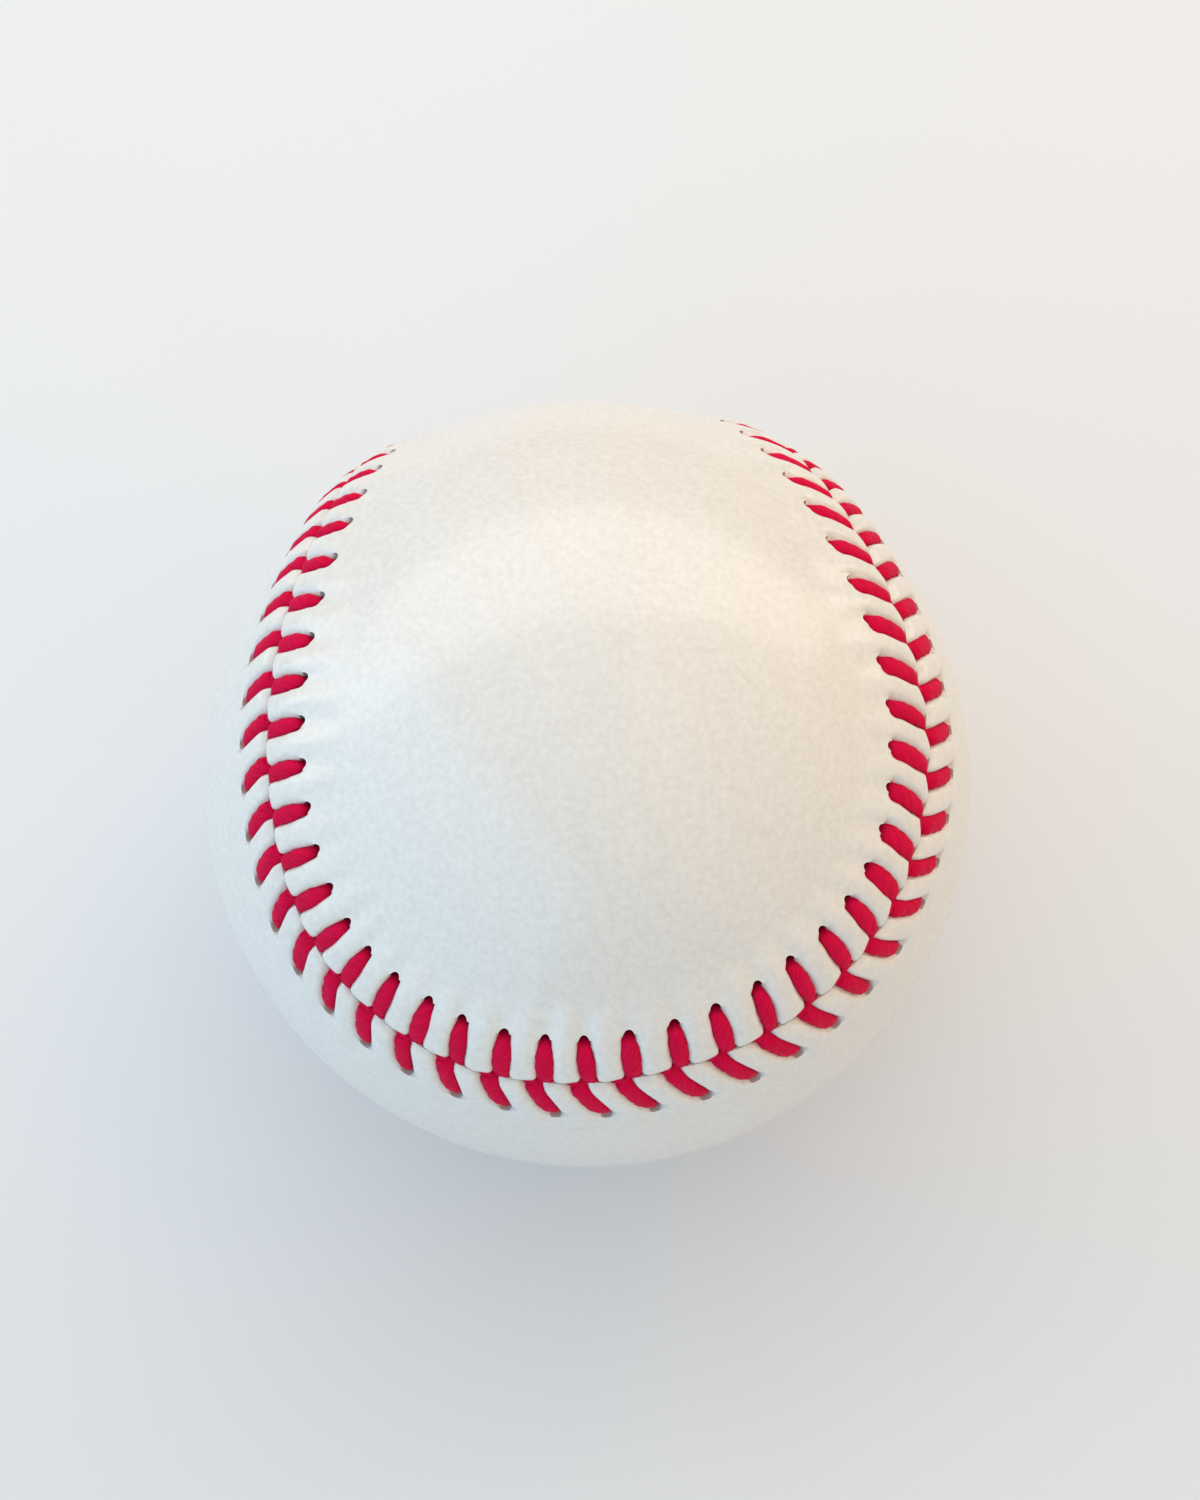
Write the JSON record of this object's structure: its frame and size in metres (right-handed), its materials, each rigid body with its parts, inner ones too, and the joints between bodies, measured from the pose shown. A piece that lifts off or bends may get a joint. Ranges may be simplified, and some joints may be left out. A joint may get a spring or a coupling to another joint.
{
  "type": "baseball",
  "caption": "Baseball with figure-eight leather panels laced edge to edge by raised red stitching, over wound yarn and a cork and rubber pill, for throwing, hitting and catching by hand.",
  "frame": {"origin": "centre of the ball", "axes": "+Z out through the middle of one lobe of panel A, +Y out through the middle of panel A's neck, and +X out through the middle of a lobe of panel B"},
  "size_m": [0.0734, 0.0734, 0.0734],
  "materials": {
    "leather": "fine-grained satin, off-white",
    "thread": "waxed crimson cotton",
    "cotton_yarn": "fine white cotton blend",
    "grey_wool": "grey wool yarn",
    "white_wool": "white wool yarn",
    "red_rubber": "moulded red rubber",
    "black_rubber": "moulded black rubber",
    "cork": "cork composition"
  },
  "bodies": {
    "root": {"cover_panel_a": "leather", "cover_panel_b": "leather", "thread_a": "thread", "thread_b": "thread", "finish_winding": "cotton_yarn", "third_winding": "grey_wool", "second_winding": "white_wool", "first_winding": "grey_wool", "red_rubber_shell_upper": "red_rubber", "red_rubber_shell_lower": "red_rubber", "red_rubber_washer": "red_rubber", "black_rubber_cup_upper": "black_rubber", "black_rubber_cup_lower": "black_rubber", "cork_core": "cork"}
  },
  "joints": []
}
